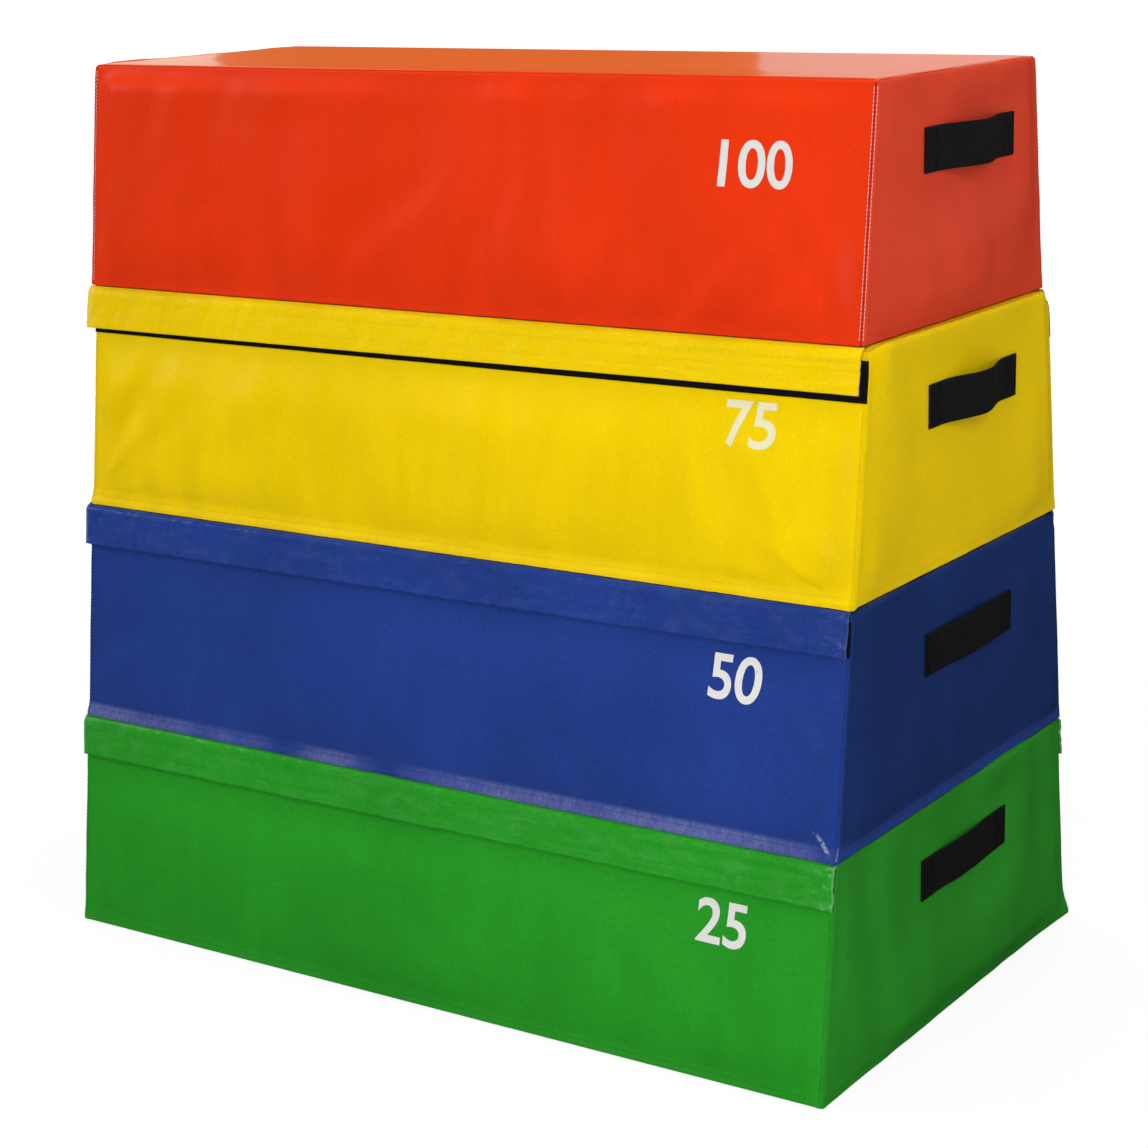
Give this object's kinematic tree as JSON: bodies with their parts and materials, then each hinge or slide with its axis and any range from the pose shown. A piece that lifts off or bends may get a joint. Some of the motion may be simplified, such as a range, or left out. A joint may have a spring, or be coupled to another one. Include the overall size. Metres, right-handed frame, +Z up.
{
  "type": "plyometric box",
  "caption": "Soft, tapered plyometric box of stacked foam tiers in coloured covers, joined by touch-tape flaps, with webbing carry handles and zips.",
  "frame": {"origin": "middle of the bottom tier's underside, on the floor", "axes": "+X along the box, +Y from the front wall to the rear wall with the zips, +Z up"},
  "size_m": [1.0445, 0.6004, 0.9997],
  "materials": {
    "green_cover": "satin",
    "blue_cover": "satin",
    "yellow_cover": "satin",
    "red_cover": "satin",
    "foam": "matte",
    "base_sheet": "matte",
    "webbing": "matte",
    "touch_tape": "matte",
    "zip_tape": "satin",
    "zip_metal": "satin"
  },
  "bodies": {
    "green_tier": {"green_foam_core": "foam", "green_cover": "green_cover", "green_base_panel": "base_sheet", "green_handle_left": "webbing", "green_handle_right": "webbing", "green_zip_chain": "zip_tape", "green_front_loop_tape": "touch_tape", "green_rear_loop_tape": "touch_tape"},
    "blue_tier": {"blue_foam_core": "foam", "blue_cover": "blue_cover", "blue_base_panel": "base_sheet", "blue_handle_left": "webbing", "blue_handle_right": "webbing", "blue_zip_chain": "zip_tape", "blue_front_loop_tape": "touch_tape", "blue_rear_loop_tape": "touch_tape"},
    "yellow_tier": {"yellow_foam_core": "foam", "yellow_cover": "yellow_cover", "yellow_base_panel": "base_sheet", "yellow_handle_left": "webbing", "yellow_handle_right": "webbing", "yellow_zip_chain": "zip_tape", "yellow_front_loop_tape": "touch_tape", "yellow_rear_loop_tape": "touch_tape"},
    "red_tier": {"red_foam_core": "foam", "red_cover": "red_cover", "red_base_panel": "base_sheet", "red_handle_left": "webbing", "red_handle_right": "webbing", "red_zip_chain": "zip_tape"},
    "green_front_flap": {"green_front_flap": "green_cover", "green_front_hook_tape": "touch_tape"},
    "green_rear_flap": {"green_rear_flap": "green_cover", "green_rear_hook_tape": "touch_tape"},
    "blue_front_flap": {"blue_front_flap": "blue_cover", "blue_front_hook_tape": "touch_tape"},
    "blue_rear_flap": {"blue_rear_flap": "blue_cover", "blue_rear_hook_tape": "touch_tape"},
    "yellow_front_flap": {"yellow_front_flap": "yellow_cover", "yellow_front_hook_tape": "touch_tape"},
    "yellow_rear_flap": {"yellow_rear_flap": "yellow_cover", "yellow_rear_hook_tape": "touch_tape"},
    "green_zip_slider": {"green_zip_slider": "zip_metal"},
    "blue_zip_slider": {"blue_zip_slider": "zip_metal"},
    "yellow_zip_slider": {"yellow_zip_slider": "zip_metal"},
    "red_zip_slider": {"red_zip_slider": "zip_metal"},
    "green_zip_puller": {"green_zip_puller": "zip_metal"},
    "blue_zip_puller": {"blue_zip_puller": "zip_metal"},
    "yellow_zip_puller": {"yellow_zip_puller": "zip_metal"},
    "red_zip_puller": {"red_zip_puller": "zip_metal"}
  },
  "joints": [
    {"name": "blue_lift", "type": "slide", "parent": "green_tier", "child": "blue_tier", "axis": [0, 0, 1], "range_m": [0, 0.3]},
    {"name": "yellow_lift", "type": "slide", "parent": "blue_tier", "child": "yellow_tier", "axis": [0, 0, 1], "range_m": [0, 0.3]},
    {"name": "red_lift", "type": "slide", "parent": "yellow_tier", "child": "red_tier", "axis": [0, 0, 1], "range_m": [0, 0.3]},
    {"name": "green_front_flap_swing", "type": "hinge", "parent": "blue_tier", "child": "green_front_flap", "pos_m": [0, -0.2709, 0.2509], "axis": [-1, 0, 0], "range_deg": [0, 140]},
    {"name": "green_rear_flap_swing", "type": "hinge", "parent": "blue_tier", "child": "green_rear_flap", "pos_m": [0, 0.2709, 0.2509], "axis": [1, 0, 0], "range_deg": [0, 140]},
    {"name": "blue_front_flap_swing", "type": "hinge", "parent": "yellow_tier", "child": "blue_front_flap", "pos_m": [-0.0015, -0.2379, 0.5009], "axis": [-1, 0, 0], "range_deg": [0, 140]},
    {"name": "blue_rear_flap_swing", "type": "hinge", "parent": "yellow_tier", "child": "blue_rear_flap", "pos_m": [-0.0015, 0.2439, 0.5009], "axis": [1, 0, 0], "range_deg": [0, 140]},
    {"name": "yellow_front_flap_swing", "type": "hinge", "parent": "red_tier", "child": "yellow_front_flap", "pos_m": [-0.006, -0.2079, 0.7509], "axis": [-1, 0, 0], "range_deg": [0, 140]},
    {"name": "yellow_rear_flap_swing", "type": "hinge", "parent": "red_tier", "child": "yellow_rear_flap", "pos_m": [-0.006, 0.2139, 0.7509], "axis": [1, 0, 0], "range_deg": [0, 140]},
    {"name": "green_zip_slide", "type": "slide", "parent": "green_tier", "child": "green_zip_slider", "axis": [-1, 0, 0], "range_m": [0, 0.8]},
    {"name": "blue_zip_slide", "type": "slide", "parent": "blue_tier", "child": "blue_zip_slider", "axis": [-1, 0, 0], "range_m": [0, 0.8]},
    {"name": "yellow_zip_slide", "type": "slide", "parent": "yellow_tier", "child": "yellow_zip_slider", "axis": [-1, 0, 0], "range_m": [0, 0.8]},
    {"name": "red_zip_slide", "type": "slide", "parent": "red_tier", "child": "red_zip_slider", "axis": [-1, 0, 0], "range_m": [0, 0.8]},
    {"name": "green_puller_swing", "type": "hinge", "parent": "green_zip_slider", "child": "green_zip_puller", "pos_m": [0.3972, 0.29772, 0.06262], "axis": [0, 0.1191, -0.9929], "range_deg": [0, 140]},
    {"name": "blue_puller_swing", "type": "hinge", "parent": "blue_zip_slider", "child": "blue_zip_puller", "pos_m": [0.3992, 0.26772, 0.31262], "axis": [0, 0.1191, -0.9929], "range_deg": [0, 140]},
    {"name": "yellow_puller_swing", "type": "hinge", "parent": "yellow_zip_slider", "child": "yellow_zip_puller", "pos_m": [0.3987, 0.24072, 0.56262], "axis": [0, 0.1191, -0.9929], "range_deg": [0, 140]},
    {"name": "red_puller_swing", "type": "hinge", "parent": "red_zip_slider", "child": "red_zip_puller", "pos_m": [0.3912, 0.21072, 0.81262], "axis": [0, 0.1191, -0.9929], "range_deg": [0, 140]}
  ]
}
